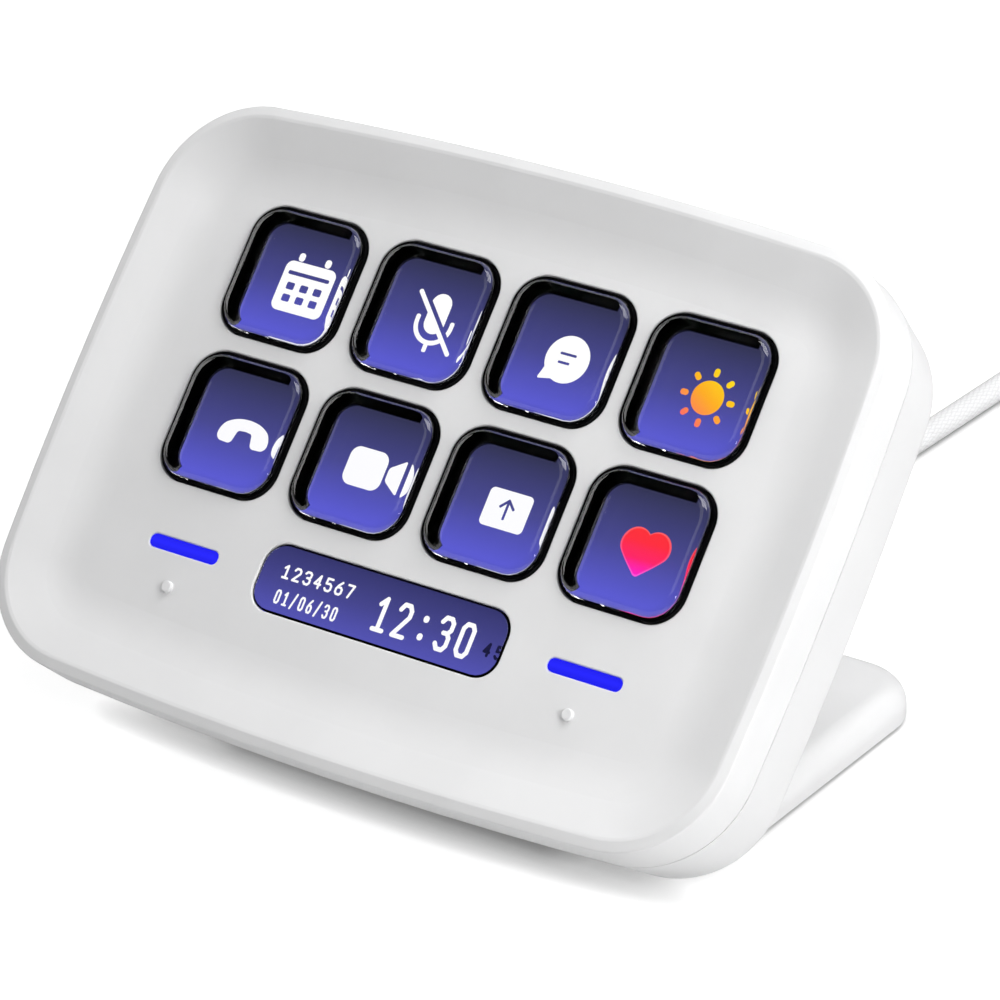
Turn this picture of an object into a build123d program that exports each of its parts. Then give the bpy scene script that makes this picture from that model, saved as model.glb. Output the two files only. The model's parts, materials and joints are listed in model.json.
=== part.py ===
from build123d import *
import math
import os

# Desktop key pad: eight display keys and an information bar in a leaning housing,
# on a fixed foot, with a captive cable.
# Sizes are in millimetres. Z is up, the front faces -Y, and the pad stands on Z = 0.
# The housing is drawn in its own face frame: x to the right, y up the face, and z out of
# the face, with z = 0 on the lip's outer edge. A "depth" is a distance behind it, so z = -depth.

# Housing outline
body_width = 107.4
body_height = 78.1
side_crown = 1.24
end_crown = 1.98
corner_radius = 14.0
body_depth = 19.5
wall = 2.0
lean_angle = 41.0
rear_lift = 1.05

# Front cover
lip_width = 1.5
lip_band = 1.2
lip_rise = 0.3
lip_edge_radius = 0.25
lip_inner_radius = 1.0
dish_depth = 2.36
dish_slope = 19.4
dish_floor_radius = 14.0
cover_floor = 2.0
seam_depth = 6.45
seam_gap = 0.2
tongue_height = 1.0
tongue_width = 0.9
tongue_clearance = 0.1
bump_radius = 0.75
bump_height = 0.55
bump_root = 1.0
bump_edge_radius = 0.2
opening_edge_radius = 0.25

# Rear cover
rear_draft = 7.5
rear_edge_radius = 3.0

# Keys
key_columns = 4
key_rows = 2
key_margin_side = 15.38
key_margin_top = 12.53
key_margin_bottom = 28.35
key_bridge_x = 2.08
key_bridge_y = 2.22
key_opening_radius = 4.28
key_side_clearance = 0.2
key_proud = 1.2
key_edge_radius = 1.4
key_travel = 1.0
cap_thickness = 4.04
cap_clearance = 0.05
skirt_wall = 0.3
skirt_top_drop = 1.0
skirt_ledge = 0.4
skirt_window_margin = 1.3
flange_reach = 0.9
flange_thickness = 0.64
flange_clearance = 0.2
pad_length = 5.0
pad_width = 0.7
pad_thickness = 0.3
pad_clearance = 0.1

# Main display behind the keys
contact_sheet_thickness = 0.2
contact_window_clearance = 0.2
panel_margin_x = 2.68
panel_margin_y = 1.59
panel_thickness = 1.4
backlight_thickness = 1.8
tray_wall = 0.3
tray_clearance = 0.1
tray_ear_width = 7.0
tray_ear_reach = 5.4
tray_ear_radius = 1.0

# Information bar
infobar_rise = 20.65
infobar_width = 36.1
infobar_height = 8.8
infobar_radius = 3.0
lens_recess = 0.05
lens_clearance = 0.08
lens_thickness = 0.95
lens_edge_radius = 0.35
infobar_panel_width = 38.5
infobar_panel_height = 11.2
infobar_panel_thickness = 1.5
infobar_panel_clearance = 0.2
holder_width = 36.0
holder_height = 9.0
holder_wall = 1.6
holder_radius = 1.5
holder_inner_radius = 0.5

# Touch points with their light bars
touch_gap = 11.4
light_bar_rise = 20.6
light_bar_length = 10.3
light_bar_width = 1.75
light_bar_radius = 0.8
light_bar_clearance = 0.05
pipe_flange_margin = 0.9
pipe_flange_thickness = 0.8
pipe_leg_length = 8.0
pipe_leg_thickness = 1.5
bump_rise = 15.45
electrode_width = 15.0
electrode_height = 11.0
electrode_thickness = 0.1
electrode_rise = 18.05
electrode_radius = 2.0
electrode_slot_clearance = 0.3
touch_pin_radius = 0.9
touch_plunger_radius = 0.55
touch_pin_rise = 14.05

# Main board
board_side_room = 13.7
board_end_room = 10.05
board_y = -3.0
board_radius = 3.0
board_thickness = 1.2
standoff_height = 1.2
standoff_radius = 2.0
standoff_side_inset = 6.0
standoff_top_inset = 8.1
standoff_bottom_inset = 6.3
led_length = 1.6
led_width = 0.8
led_height = 0.6
led_gap = 0.3
chip_size = 9.0
chip_height = 0.9
chip_radius = 0.3
chip_x = -8.0
chip_y = 6.0
flex_width = 12.0
flex_thickness = 0.15
flex_loop = 1.6
flex_seat = 3.0
flex_gap = 0.5
flex_air = 0.15
flex_height = 0.3
flex_socket_inset = 3.5
flex_socket_depth = 4.0
flex_socket_wall = 1.0
flex_socket_gap = 0.4
flex_socket_clearance = 0.05

# Screws: head radius, head height and shank radius of each kind
cover_screw_head = 1.9
cover_screw_head_height = 1.3
cover_screw_shank = 1.0
cover_screw_length = 7.0
stand_screw_head = 2.2
stand_screw_head_height = 1.6
stand_screw_shank = 1.2
stand_screw_length = 6.6
small_screw_head = 1.3
small_screw_head_height = 0.8
small_screw_shank = 0.75
small_screw_length = 2.1
drive_radius = 0.6
drive_depth = 0.45
thread_clearance = 0.05
shank_clearance = 0.15
head_clearance = 0.2
boss_wall = 1.75
thread_stop = 1.0
cover_screw_side = 8.9
cover_screw_end = 13.05
cover_boss_end = 10.4
cover_post_gap = 0.1
cover_screw_seat = 13.5
tray_screw_reach = 3.6
tray_screw_span = 16.0
stand_screw_x = 17.0
stand_screw_rises = (35.05, 17.55)
stand_post_end = 13.3
stand_thread_stop = 0.5

# Stand
foot_width = 85.0
foot_reach = 58.3
foot_thickness = 4.4
foot_corner_radius = 8.0
foot_edge_radius = 3.0
foot_setback = 0.3
pad_proud = 0.6
pad_recess = 0.4
pad_inset = 3.5
pad_gap = 0.1
flange_width = 50.0
flange_rise = 45.05
flange_plate = 3.0
flange_lift = 2.0
flange_corner_radius = 6.0
foot_bend_radius = 4.0

# Cable outlet and cable
cable_diameter = 3.5
bend_share = 0.45
cable_exit_height = 11.2
outlet_width = 12.0
outlet_height = 8.0
outlet_proud = 5.0
outlet_clearance = 0.4
outlet_edge_radius = 1.0
relief_inner_reach = 0.5
relief_root_radius = 2.6
relief_clearance = 0.05
relief_collar_radius = 3.5
relief_collar_length = 1.5
relief_cone_radius = 3.0
relief_tip_radius = 2.1
relief_length = 14.0
lead_radius = 1.2
lead_reach = 3.8
lead_bend_radius = 2.6
lead_side_run = 14.0
cable_socket_width = 7.0
cable_socket_height = 4.4
cable_socket_depth = 4.3
coil_turn_radius = 20.45
coil_turns_wide = 3
coil_height = 12.8
coil_corner_radius = 3.0
tie_width = 6.0
tie_thickness = 0.9
tie_gap = 0.15
plug_width = 10.8
plug_height = 6.2
plug_length = 22.0
plug_radius = 2.6
plug_edge_radius = 1.2
plug_shell_width = 8.3
plug_shell_height = 2.5
plug_shell_length = 6.5
plug_shell_wall = 0.3
plug_shell_seat = 1.0

# Drawing helpers: how far a cut runs past its solid, and how close two depths are the same
cut_past = 1.0
tolerance = 0.001

# Places on the face that follow from the sizes above; a "rise" is measured from the lower end
lower_end = -body_height / 2
key_pitch_x = (body_width - 2 * key_margin_side + key_bridge_x) / key_columns
key_pitch_y = (body_height - key_margin_top - key_margin_bottom + key_bridge_y) / key_rows
key_opening_width = key_pitch_x - key_bridge_x
key_opening_height = key_pitch_y - key_bridge_y
key_field_y = (key_margin_bottom - key_margin_top) / 2
key_places = [
    ((column - (key_columns - 1) / 2) * key_pitch_x, key_field_y + ((key_rows - 1) / 2 - row) * key_pitch_y)
    for row in range(key_rows)
    for column in range(key_columns)
]
panel_width = body_width - 2 * (key_margin_side - panel_margin_x)
panel_height = body_height - key_margin_top - key_margin_bottom + 2 * panel_margin_y
panel_top = key_field_y + panel_height / 2
panel_bottom = key_field_y - panel_height / 2
infobar_y = lower_end + infobar_rise
touch_x = infobar_width / 2 + touch_gap
light_bar_y = lower_end + light_bar_rise
bump_y = lower_end + bump_rise
electrode_y = lower_end + electrode_rise
touch_pin_y = lower_end + touch_pin_rise
board_width = body_width - 2 * board_side_room
board_height = body_height - 2 * board_end_room
standoff_x = board_width / 2 - standoff_side_inset
standoff_rows = (panel_top - standoff_top_inset, panel_bottom + standoff_bottom_inset)
cover_screw_x = body_width / 2 - cover_screw_side
cover_screw_y = body_height / 2 - cover_screw_end
tray_screw_x = panel_width / 2 + tray_screw_reach
tray_screw_rows = (key_field_y + tray_screw_span / 2, key_field_y - tray_screw_span / 2)
stand_screw_rows = [lower_end + rise for rise in stand_screw_rises]
flange_top = lower_end + flange_rise

# Depths that follow from the sizes above
floor_back = dish_depth + cover_floor
cap_top = dish_depth - key_proud
cap_bottom = cap_top + cap_thickness
skirt_bottom = cap_bottom + skirt_ledge
flange_front = floor_back + flange_clearance
flange_back = flange_front + flange_thickness
contact_front = max(skirt_bottom, flange_back + pad_thickness + pad_clearance) + key_travel
contact_back = contact_front + contact_sheet_thickness
panel_back = contact_back + panel_thickness
backlight_back = panel_back + backlight_thickness
tray_back = backlight_back + tray_wall
board_front = tray_back + standoff_height
board_back = board_front + board_thickness
cavity_back = body_depth - wall
lens_front = dish_depth + lens_recess
infobar_panel_front = lens_front + lens_thickness
infobar_panel_back = infobar_panel_front + infobar_panel_thickness

# Places on the desk
lean_sin = math.sin(math.radians(lean_angle))
lean_cos = math.cos(math.radians(lean_angle))
rear_inset = (body_depth - seam_depth) * math.tan(math.radians(rear_draft))
rear_corner = body_height / 2 - rear_inset
face_height = rear_lift + rear_corner * lean_cos + body_depth * lean_sin
rear_corner_reach = body_depth * lean_cos - rear_corner * lean_sin
foot_back_reach = rear_corner_reach + foot_reach
lip_reach = body_height / 2 * lean_sin
face_y = (lip_reach - foot_back_reach) / 2
foot_back = face_y + foot_back_reach
foot_top = pad_proud + foot_thickness
FACE = Plane(origin=(0, face_y, face_height), x_dir=(1, 0, 0), z_dir=(0, -lean_cos, lean_sin))


def back_y(height):
    """The y of the housing's back plane at a height above the desk."""
    back_centre_y = face_y + body_depth * lean_cos
    back_centre_height = face_height - body_depth * lean_sin
    return back_centre_y + (height - back_centre_height) * lean_sin / lean_cos


def on_face(shape):
    return FACE.location * shape


def edges_at(solid, depth):
    return [edge for edge in solid.edges() if abs(edge.center().Z + depth) < tolerance]


def face_at(solid, depth):
    """The largest flat face at a depth."""
    flat = [face for face in solid.faces() if abs(face.center().Z + depth) < tolerance]
    return max(flat, key=lambda face: face.area)


def outline(inset, depth):
    """The housing's outline with bowed sides and round corners, moved inward by inset."""
    half_width = body_width / 2 - inset
    half_height = body_height / 2 - inset
    corner_x = half_width - side_crown
    corner_y = half_height - end_crown
    corners = [(corner_x, corner_y), (-corner_x, corner_y), (-corner_x, -corner_y), (corner_x, -corner_y)]
    middles = [(0, half_height), (-half_width, 0), (0, -half_height), (half_width, 0)]
    sides = [ThreePointArc(corners[i], middles[i], corners[(i + 1) % 4]) for i in range(4)]
    sharp = Face(Wire(sides))
    return Pos(0, 0, -depth) * sharp.fillet_2d(corner_radius - inset, sharp.vertices())


def outline_block(inset, near, far):
    return extrude(outline(inset, far), far - near, dir=(0, 0, 1))


def outline_taper(near_inset, near, far_inset, far):
    return loft([outline(near_inset, near), outline(far_inset, far)], ruled=True)


def bar(width, height, radius, near, far, x=0.0, y=0.0):
    """A block with a rounded-rectangle front, between two depths."""
    return Pos(x, y, -far) * extrude(RectangleRounded(width, height, radius), far - near)


def box(width, height, near, far, x=0.0, y=0.0):
    return Pos(x, y, -(near + far) / 2) * Box(width, height, far - near)


def post(radius, near, far, x=0.0, y=0.0):
    return Pos(x, y, -(near + far) / 2) * Cylinder(radius, far - near)


def many(shapes):
    """Separate solids that share one node."""
    return Compound([solid for shape in shapes for solid in shape.solids()])


def corner_places(x, rows):
    return [(side * x, y) for side in (-1, 1) for y in rows]


def screw(head_radius, head_height, shank_radius, length, seat, x, y):
    """A screw put in from the back, with its head's underside at depth seat."""
    head = post(head_radius, seat, seat + head_height, x, y)
    slot = post(drive_radius, seat + head_height - drive_depth, seat + head_height, x, y)
    return head - slot + post(shank_radius, seat - length, seat, x, y)


# ---------- front cover ----------

cover_screw_places = corner_places(cover_screw_x, (-cover_screw_y, cover_screw_y))
tray_screw_places = corner_places(tray_screw_x, tray_screw_rows)
stand_screw_places = corner_places(stand_screw_x, stand_screw_rows)
standoff_places = corner_places(standoff_x, standoff_rows)


def dish():
    """The space scooped out of the front cover, from the lip down to the flat floor."""
    slope_run = dish_depth / math.tan(math.radians(dish_slope))
    scoop = outline_taper(lip_width, -lip_rise, lip_width + slope_run, dish_depth)
    return fillet(edges_at(scoop, dish_depth), dish_floor_radius)


def front_cover():
    cover = outline_block(0, 0, seam_depth) + outline_taper(lip_band, -lip_rise, 0, 0)
    cover = fillet(edges_at(cover, 0), lip_edge_radius)
    cover -= dish()
    crest = face_at(cover, -lip_rise)
    cover = fillet(crest.inner_wires()[0].edges(), lip_inner_radius)
    cover -= outline_block(wall, floor_back, seam_depth)
    cover -= outline_block(wall - tongue_width, seam_depth - tongue_height - tongue_clearance, seam_depth)
    for x, y in key_places:
        cover -= bar(key_opening_width, key_opening_height, key_opening_radius, 0, floor_back, x, y)
    cover -= bar(infobar_width, infobar_height, infobar_radius, 0, floor_back, 0, infobar_y)
    pocket_width = infobar_panel_width + 2 * infobar_panel_clearance
    pocket_height = infobar_panel_height + 2 * infobar_panel_clearance
    cover -= box(pocket_width, pocket_height, infobar_panel_front, floor_back, 0, infobar_y)
    for x in (-touch_x, touch_x):
        cover -= bar(light_bar_length, light_bar_width, light_bar_radius, 0, floor_back, x, light_bar_y)
    rims = [edge for rim in face_at(cover, dish_depth).inner_wires() for edge in rim.edges()]
    cover = fillet(rims, opening_edge_radius)
    for x in (-touch_x, touch_x):
        bump = post(bump_radius, dish_depth - bump_height, dish_depth + bump_root, x, bump_y)
        cover += fillet(edges_at(bump, dish_depth - bump_height), bump_edge_radius)
    for x, y in cover_screw_places:
        cover += post(cover_screw_shank + boss_wall, floor_back, cover_boss_end, x, y)
        cover -= post(cover_screw_shank + thread_clearance, floor_back + thread_stop, cover_boss_end, x, y)
    for x, y in tray_screw_places:
        cover += post(small_screw_shank + boss_wall, floor_back, backlight_back, x, y)
        cover -= post(small_screw_shank + thread_clearance, floor_back + thread_stop, backlight_back, x, y)
    return cover


# ---------- rear cover ----------

def cavity():
    """The hollow inside the rear cover."""
    inner_run = (cavity_back - seam_depth) * math.tan(math.radians(rear_draft))
    return outline_taper(wall, seam_depth + seam_gap, wall + inner_run, cavity_back)


def rear_cover():
    seam = seam_depth + seam_gap
    shell = outline_taper(0, seam, rear_inset, body_depth)
    shell = on_face(fillet(edges_at(shell, body_depth), rear_edge_radius))
    outlet_y = back_y(cable_exit_height) + outlet_proud
    outlet_run = outlet_proud + 2 * wall
    outlet = Box(outlet_width, outlet_run, outlet_height)
    outlet = Pos(0, outlet_y - outlet_run / 2, cable_exit_height) * outlet
    outlet = fillet(outlet.edges().filter_by(Axis.Y), outlet_edge_radius)
    shell = shell + outlet - on_face(cavity())
    tongue = outline_block(wall - tongue_width + tongue_clearance, seam - tongue_height, seam)
    tongue -= outline_block(wall, seam - tongue_height, seam)
    shell += on_face(tongue)
    for x, y in cover_screw_places:
        post_start = cover_boss_end + cover_post_gap
        shell += on_face(post(cover_screw_head + boss_wall, post_start, cavity_back, x, y))
        shell -= on_face(post(cover_screw_head + head_clearance, cover_screw_seat, body_depth, x, y))
        shell -= on_face(post(cover_screw_shank + shank_clearance, cover_boss_end, cover_screw_seat, x, y))
    for x, y in stand_screw_places:
        shell += on_face(post(stand_screw_shank + boss_wall, stand_post_end, cavity_back, x, y))
        thread_end = stand_post_end + stand_thread_stop
        shell -= on_face(post(stand_screw_shank + thread_clearance, thread_end, body_depth, x, y))
    bore = Rot(90, 0, 0) * Cylinder(relief_root_radius + relief_clearance, 3 * outlet_run)
    return shell - Pos(0, outlet_y, cable_exit_height) * bore


# ---------- stand ----------

def before_back_plane():
    """All the space in front of the housing's back plane."""
    size = 4 * body_width
    return on_face(Pos(0, 0, size / 2 - body_depth) * Box(size, size, size))


def foot_plate(inset, low, high):
    """The foot's outline, moved inward by inset, between two heights."""
    front = back_y(foot_top) + foot_setback
    length = foot_back - front - 2 * inset
    plate = RectangleRounded(foot_width - 2 * inset, length, foot_corner_radius - inset)
    return Pos(0, (foot_back + front) / 2, low) * extrude(plate, high - low)


def bend_fill():
    """The rounded corner between the foot and the upright, seen from the side."""
    corner_y = back_y(foot_top) + flange_plate / lean_cos
    half_angle = math.radians(90 - lean_angle) / 2
    run = foot_bend_radius / math.tan(half_angle)
    along = (math.cos(2 * half_angle), math.sin(2 * half_angle))
    centre = (corner_y + run, foot_top + foot_bend_radius)
    sunk = 0.5
    points = [(corner_y - sunk, foot_top - sunk), (corner_y + run, foot_top - sunk), centre]
    points.append((corner_y + run * along[0], foot_top + run * along[1]))
    points.append((corner_y + run * along[0] - sunk, foot_top + run * along[1]))
    side = Face(Wire(Polyline(*points, close=True).edges()))
    side -= Pos(*centre) * Circle(foot_bend_radius)
    frame = Plane(origin=(-flange_width / 2, 0, 0), x_dir=(0, 1, 0), z_dir=(1, 0, 0))
    return extrude(frame.location * side, flange_width, dir=(1, 0, 0))


def stand():
    foot = foot_plate(0, pad_proud, foot_top)
    top_edges = [edge for edge in foot.edges() if abs(edge.center().Z - foot_top) < tolerance]
    foot = fillet(top_edges, foot_edge_radius)
    foot -= pad_block(pad_inset - pad_gap)
    reach = body_height
    flange = bar(flange_width, reach, flange_corner_radius, body_depth, body_depth + flange_plate)
    flange = on_face(Pos(0, flange_top - reach / 2, 0) * flange)
    flange -= Pos(0, 0, flange_lift - body_height) * Box(3 * body_width, 4 * body_width, 2 * body_height)
    whole = foot + flange + bend_fill() - before_back_plane()
    outlet_y = back_y(cable_exit_height)
    notch_top = cable_exit_height + outlet_height / 2 + outlet_clearance
    notch = Box(outlet_width + 2 * outlet_clearance, 2 * foot_reach, notch_top - foot_top)
    whole -= Pos(0, outlet_y, (notch_top + foot_top) / 2) * notch
    seat = body_depth + flange_plate - stand_screw_head_height
    for x, y in stand_screw_places:
        far = body_depth + flange_plate + cut_past
        whole -= on_face(post(stand_screw_head + head_clearance, seat, far, x, y))
        whole -= on_face(post(stand_screw_shank + shank_clearance, body_depth - cut_past, seat, x, y))
    return whole


def pad_block(inset):
    """The space of the rubber pad under the foot, at an inset from the foot's edges."""
    return foot_plate(inset, 0, pad_proud + pad_recess)


def foot_pad():
    return pad_block(pad_inset)


# ---------- keys ----------

def key_cap(x, y):
    width = key_opening_width - 2 * (key_side_clearance + skirt_wall + cap_clearance)
    height = key_opening_height - 2 * (key_side_clearance + skirt_wall + cap_clearance)
    radius = key_opening_radius - key_side_clearance - skirt_wall - cap_clearance
    cap = bar(width, height, radius, cap_top, cap_bottom, x, y)
    return fillet(edges_at(cap, cap_top), key_edge_radius)


def key_skirt(x, y):
    width = key_opening_width - 2 * key_side_clearance
    height = key_opening_height - 2 * key_side_clearance
    radius = key_opening_radius - key_side_clearance
    ring_top = cap_top + skirt_top_drop
    skirt = bar(width, height, radius, ring_top, skirt_bottom, x, y)
    grown = 2 * flange_reach
    skirt += bar(width + grown, height + grown, radius + flange_reach, flange_front, flange_back, x, y)
    inner = 2 * skirt_wall
    skirt -= bar(width - inner, height - inner, radius - skirt_wall, ring_top, cap_bottom, x, y)
    inner += 2 * skirt_window_margin
    window_radius = radius - skirt_wall - skirt_window_margin
    return skirt - bar(width - inner, height - inner, window_radius, cap_bottom, skirt_bottom, x, y)


def key_pads(x, y):
    """Four contact pads under a key's flange, one at the middle of each side."""
    side_x = key_opening_width / 2 - key_side_clearance + flange_reach / 2
    side_y = key_opening_height / 2 - key_side_clearance + flange_reach / 2
    back = flange_back + pad_thickness
    pads = [box(pad_width, pad_length, flange_back, back, x + side * side_x, y) for side in (-1, 1)]
    pads += [box(pad_length, pad_width, flange_back, back, x, y + side * side_y) for side in (-1, 1)]
    return many(on_face(pad) for pad in pads)


# ---------- main display ----------

def contact_sheet():
    sheet = box(panel_width, panel_height, contact_front, contact_back, 0, key_field_y)
    grow = contact_window_clearance - key_side_clearance
    for x, y in key_places:
        width = key_opening_width + 2 * grow
        height = key_opening_height + 2 * grow
        sheet -= bar(width, height, key_opening_radius + grow, contact_front, contact_back, x, y)
    return sheet


def lcd_tray():
    """The steel tray round the panel and backlight, with four screw ears."""
    width = panel_width + 2 * (tray_clearance + tray_wall)
    height = panel_height + 2 * (tray_clearance + tray_wall)
    tray = box(width, height, contact_back, tray_back, 0, key_field_y)
    inner_width = width - 2 * tray_wall
    inner_height = height - 2 * tray_wall
    tray -= box(inner_width, inner_height, contact_back, backlight_back, 0, key_field_y)
    for x, y in tray_screw_places:
        ear_x = math.copysign(width / 2 + tray_ear_reach / 2 - tray_wall, x)
        ear_length = tray_ear_reach + 2 * tray_wall
        tray += bar(ear_length, tray_ear_width, tray_ear_radius, backlight_back, tray_back, ear_x, y)
        tray -= post(small_screw_shank + shank_clearance, backlight_back, tray_back, x, y)
    exit_y = key_field_y + height / 2
    exit_run = 2 * (tray_wall + cut_past)
    return tray - box(flex_width + 2 * flex_gap, exit_run, panel_back, backlight_back, 0, exit_y)


flex_end_y = board_y + board_height / 2 - flex_socket_inset
flex_depths = (panel_back + flex_thickness / 2, board_front - flex_height)


def lcd_flex():
    """The ribbon from the panel's top edge round to the main board's front."""
    start_y = panel_top - flex_seat
    loop_y = panel_top + tray_clearance + tray_wall + flex_loop
    leave, arrive = flex_depths
    half = flex_thickness / 2
    outer = [(start_y, half - leave), (loop_y + half, half - leave)]
    outer += [(loop_y + half, -half - arrive), (flex_end_y, -half - arrive)]
    inner = [(flex_end_y, half - arrive), (loop_y - half, half - arrive)]
    inner += [(loop_y - half, -half - leave), (start_y, -half - leave)]
    side = Face(Wire(Polyline(*outer, *inner, close=True).edges()))
    frame = Plane(origin=(-flex_width / 2, 0, 0), x_dir=(0, 1, 0), z_dir=(1, 0, 0))
    return extrude(frame.location * side, flex_width, dir=(1, 0, 0))


def lcd_backlight():
    """The light guide stack, cut back where the panel's ribbon leaves."""
    guide = box(panel_width, panel_height, panel_back, backlight_back, 0, key_field_y)
    slot_back = panel_back + flex_thickness + flex_air
    run = 2 * (flex_seat + flex_gap)
    return guide - box(flex_width + 2 * flex_gap, run, panel_back, slot_back, 0, panel_top)


# ---------- information bar ----------

def infobar_lens():
    width = infobar_width - 2 * lens_clearance
    height = infobar_height - 2 * lens_clearance
    radius = infobar_radius - lens_clearance
    lens = bar(width, height, radius, lens_front, infobar_panel_front, 0, infobar_y)
    return fillet(edges_at(lens, lens_front), lens_edge_radius)


def infobar_display():
    front, back = infobar_panel_front, infobar_panel_back
    return box(infobar_panel_width, infobar_panel_height, front, back, 0, infobar_y)


def infobar_holder():
    """The frame that presses the bar's display against the front cover from the board."""
    frame = bar(holder_width, holder_height, holder_radius, infobar_panel_back, board_front, 0, infobar_y)
    inner = (holder_width - 2 * holder_wall, holder_height - 2 * holder_wall, holder_inner_radius)
    return frame - bar(*inner, infobar_panel_back, board_front, 0, infobar_y)


def light_pipe(x):
    length = light_bar_length - 2 * light_bar_clearance
    width = light_bar_width - 2 * light_bar_clearance
    radius = light_bar_radius - light_bar_clearance
    back = floor_back + pipe_flange_thickness
    margin = 2 * pipe_flange_margin
    pipe = bar(length, width, radius, lens_front, back, x, light_bar_y)
    pipe += bar(length + margin, width + margin, radius, floor_back, back, x, light_bar_y)
    leg_end = board_front - led_height - led_gap
    return pipe + box(pipe_leg_length, pipe_leg_thickness, floor_back, leg_end, x, light_bar_y)


def touch_electrode(x):
    """A thin foil under the front cover, with a slot for the light pipe."""
    back = floor_back + electrode_thickness
    foil = bar(electrode_width, electrode_height, electrode_radius, floor_back, back, x, electrode_y)
    margin = 2 * (pipe_flange_margin + electrode_slot_clearance)
    slot_length = light_bar_length + margin
    slot_width = light_bar_width + margin
    return foil - box(slot_length, slot_width, floor_back, back, x, light_bar_y)


def touch_pin(x):
    front = floor_back + electrode_thickness
    middle = (front + board_front) / 2
    pin = post(touch_plunger_radius, front, middle, x, touch_pin_y)
    return pin + post(touch_pin_radius, middle, board_front, x, touch_pin_y)


# ---------- main board ----------

def main_board():
    board = bar(board_width, board_height, board_radius, board_front, board_back, 0, board_y)
    for x, y in standoff_places:
        board -= post(small_screw_shank + shank_clearance, board_front, board_back, x, y)
    return board


def board_standoff(x, y):
    sleeve = post(standoff_radius, tray_back, board_front, x, y)
    return sleeve - post(small_screw_shank + thread_clearance, tray_back, board_front, x, y)


def lcd_socket():
    """The clamp on the board that takes the display's ribbon."""
    y = flex_end_y - flex_socket_wall + flex_socket_depth / 2
    front = tray_back + flex_socket_gap
    block = box(flex_width + 2 * flex_socket_wall, flex_socket_depth, front, board_front, 0, y)
    arrive = flex_depths[1]
    half = flex_thickness / 2 + flex_socket_clearance
    slot_width = flex_width + 2 * flex_socket_clearance
    slot_y = y + flex_socket_wall
    return block - box(slot_width, flex_socket_depth, arrive - half, arrive + half, 0, slot_y)


def led_chip(x):
    return box(led_length, led_width, board_front - led_height, board_front, x, light_bar_y)


# ---------- cable ----------

outlet_face = back_y(cable_exit_height) + outlet_proud
relief_inner = back_y(cable_exit_height) - wall / lean_cos - relief_inner_reach
lead_corner = relief_inner - lead_reach


def toward_back(shape, y):
    """Turns a shape drawn along Z so that it points along +Y from the cable outlet."""
    return Pos(0, y, cable_exit_height) * Rot(-90, 0, 0) * shape


def strain_relief():
    root_length = outlet_face - relief_inner
    relief = Pos(0, 0, root_length / 2) * Cylinder(relief_root_radius, root_length)
    collar = Pos(0, 0, root_length + relief_collar_length / 2)
    relief += collar * Cylinder(relief_collar_radius, relief_collar_length)
    taper = relief_length - relief_collar_length
    start = root_length + relief_collar_length
    relief += Pos(0, 0, start + taper / 2) * Cone(relief_cone_radius, relief_tip_radius, taper)
    return toward_back(relief, relief_inner)


def tube(points, radius, bends=None):
    """A round tube along straight runs with arcs as large as the runs allow."""
    spots = [Vector(*point) for point in points]
    if bends is None:
        bends = []
        for before, corner, after in zip(spots, spots[1:], spots[2:]):
            turn = (corner - before).get_angle(after - corner)
            shorter = min((corner - before).length, (after - corner).length)
            bends.append(bend_share * shorter / math.tan(math.radians(turn / 2)))
    path = FilletPolyline(*points, radius=bends)
    section = Plane(origin=path @ 0, z_dir=path % 0) * Circle(radius)
    solid = sweep(section, path=path)
    expected = math.pi * radius ** 2 * path.length
    radii = ", ".join(f"{bend:.1f}" for bend in bends)
    share = solid.volume / expected
    print(f"tube {path.length:.1f} long, radii {radii}, volume {share:.5f} of section x length")
    return solid


def cable_lead():
    """The cable's inner end, from the strain relief to its socket on the board."""
    start = (0, relief_inner, cable_exit_height)
    corner = (0, lead_corner, cable_exit_height)
    end = (lead_side_run, lead_corner, cable_exit_height)
    return tube([start, corner, end], lead_radius, [lead_bend_radius])


def cable_socket():
    lead_y = (lead_corner - face_y) * lean_sin + (cable_exit_height - face_height) * lean_cos
    x = lead_side_run + cable_socket_width / 2
    far = board_back + cable_socket_depth
    return box(cable_socket_width, cable_socket_height, board_back, far, x, lead_y)


cable_route = [
    (0.0, outlet_face + relief_length, cable_exit_height),
    (0.0, 22.5, cable_exit_height),
    (0.7, 42.5, 10.4),
    (1.4, 58.5, 5.6),
    (2.0, 72.5, cable_diameter / 2),
    (2.9, 92.5, cable_diameter / 2),
    (3.6, 114.5, cable_diameter / 2),
    (4.1, 134.5, cable_diameter / 2),
]
coil_centre = (28.05, 140.5)
tail_route = [
    (51.5, 134.5, 10.4),
    (51.8, 122.5, 8.4),
    (52.0, 108.5, plug_height / 2),
    (52.0, 98.5, plug_height / 2),
]


def coil_section(margin):
    width = coil_turns_wide * cable_diameter - 2 * margin
    return RectangleRounded(width, coil_height - 2 * margin, coil_corner_radius - margin)


def round_the_turns(sketch, width):
    """Extrudes a sketch of the coil's section along the turns on the coil's far side."""
    turned = Plane(origin=(-width / 2, coil_turn_radius, coil_height / 2), x_dir=(0, 1, 0), z_dir=(1, 0, 0))
    return Pos(*coil_centre, 0) * extrude(turned.location * sketch, width, dir=(1, 0, 0))


def cable_coil():
    """The put-away turns as one ring, waisted where the tie goes round them."""
    upright = Plane(origin=(coil_turn_radius, 0, coil_height / 2), x_dir=(1, 0, 0), z_dir=(0, -1, 0))
    ring = Pos(*coil_centre, 0) * revolve(upright.location * coil_section(0), Axis.Z)
    waist = coil_section(tie_thickness + tie_gap)
    around = Rectangle(2 * coil_height, 2 * coil_height) - waist
    return ring - round_the_turns(around, tie_width + 2 * tie_gap)


def cable_tie():
    return round_the_turns(coil_section(0) - coil_section(tie_thickness), tie_width)


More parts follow.
